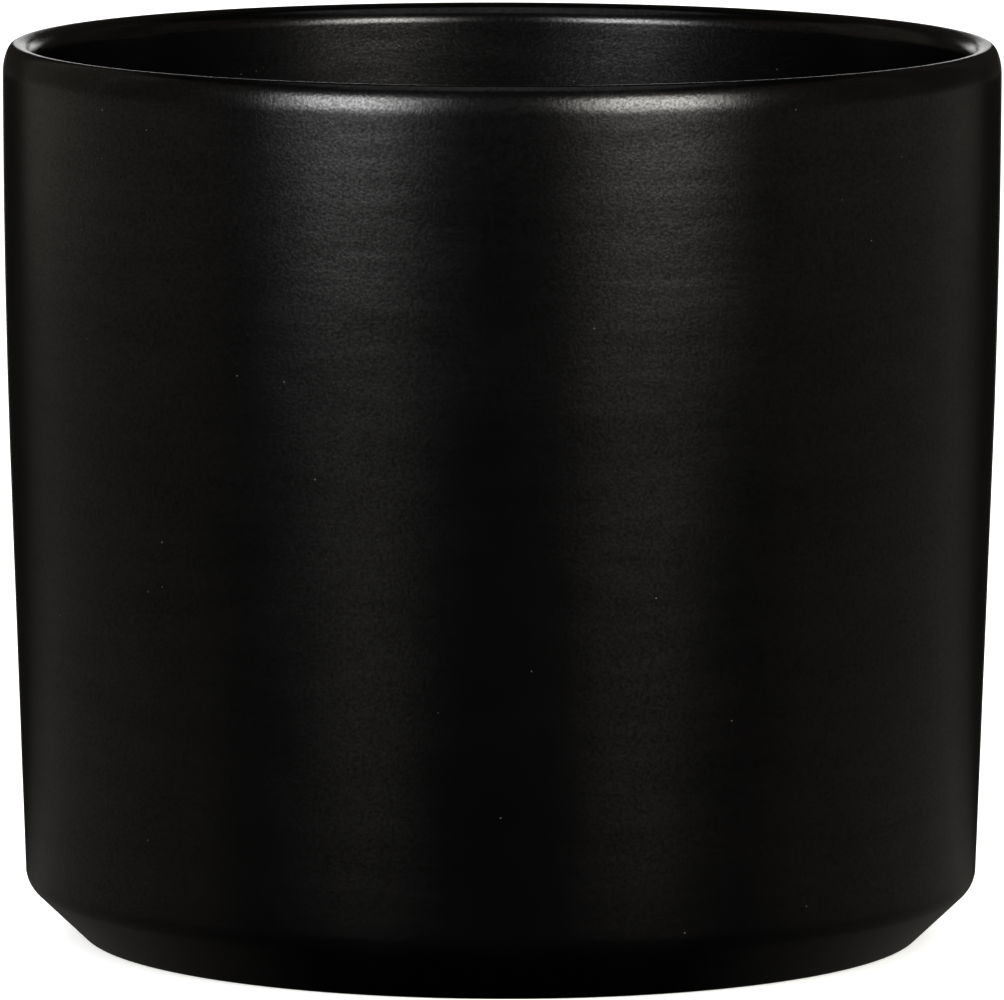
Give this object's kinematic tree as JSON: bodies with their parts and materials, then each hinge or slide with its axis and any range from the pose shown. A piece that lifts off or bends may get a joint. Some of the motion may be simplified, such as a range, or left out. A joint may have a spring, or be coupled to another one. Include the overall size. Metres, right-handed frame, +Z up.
{
  "type": "candle jar",
  "caption": "Empty round glazed ceramic candle jar: straight wall, bevelled foot, soft round lip and an open mouth that takes a plug lid.",
  "frame": {"origin": "centre of the foot ring, on the plane that the jar stands on", "axes": "+Z up the jar's axis, towards the mouth"},
  "size_m": [0.1, 0.1, 0.09],
  "materials": {
    "bare_clay": "fired, unglazed, ground flat",
    "satin_glaze": "satin"
  },
  "bodies": {
    "root": {"jar_body": "bare_clay", "outside_glaze": "satin_glaze", "inside_glaze": "satin_glaze", "underside_glaze": "satin_glaze"}
  },
  "joints": []
}
